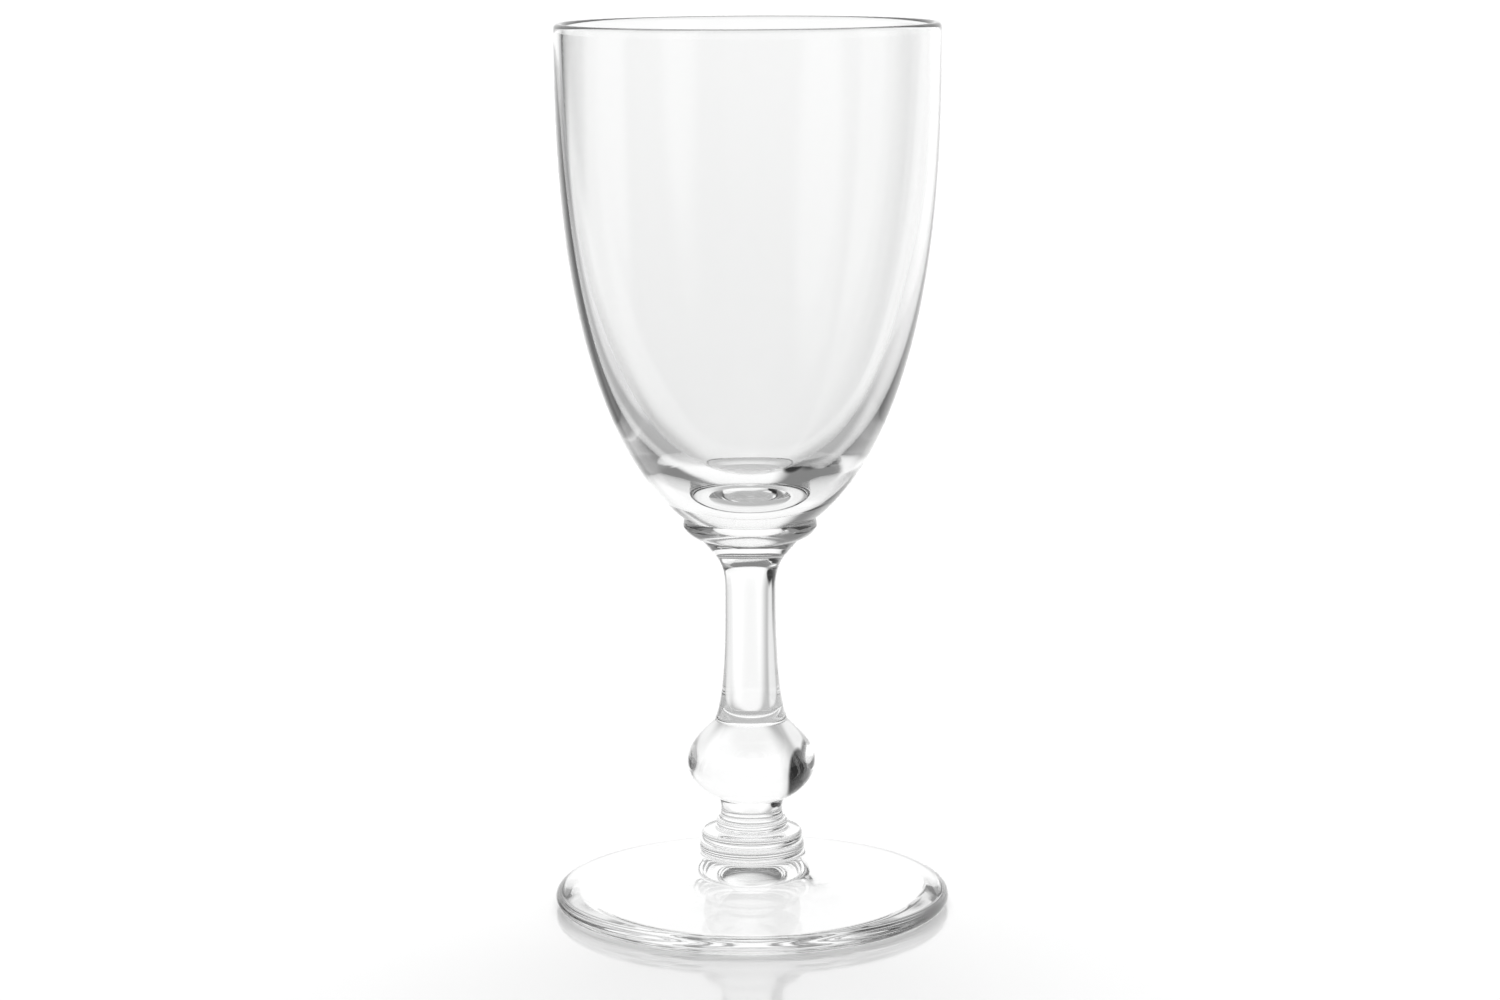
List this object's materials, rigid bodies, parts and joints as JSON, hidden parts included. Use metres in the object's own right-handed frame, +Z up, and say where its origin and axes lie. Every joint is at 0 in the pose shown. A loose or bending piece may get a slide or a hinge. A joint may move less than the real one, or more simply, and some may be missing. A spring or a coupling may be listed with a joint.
{
  "type": "red wine glass",
  "caption": "Clear stemmed wine glass with an egg-shaped bowl, collar, waisted stem, flattened ball knop, stacked discs and a shallow round foot, for serving red wine.",
  "frame": {"origin": "centre of the flat ring that the foot stands on, at table level", "axes": "+Z up along the stem, from the foot to the rim; the glass is round, so X and Y are any two directions across it"},
  "size_m": [0.0674, 0.0674, 0.15],
  "materials": {
    "blown_crystal": "clear blown crystal, fire polished",
    "worked_crystal": "clear hot-tooled crystal, polished"
  },
  "bodies": {
    "root": {"foot": "worked_crystal", "lower_merese": "worked_crystal", "upper_merese": "worked_crystal", "neck_ring": "worked_crystal", "neck": "worked_crystal", "ball_knop": "worked_crystal", "stem": "worked_crystal", "bowl_merese": "worked_crystal", "bowl": "blown_crystal"}
  },
  "joints": []
}
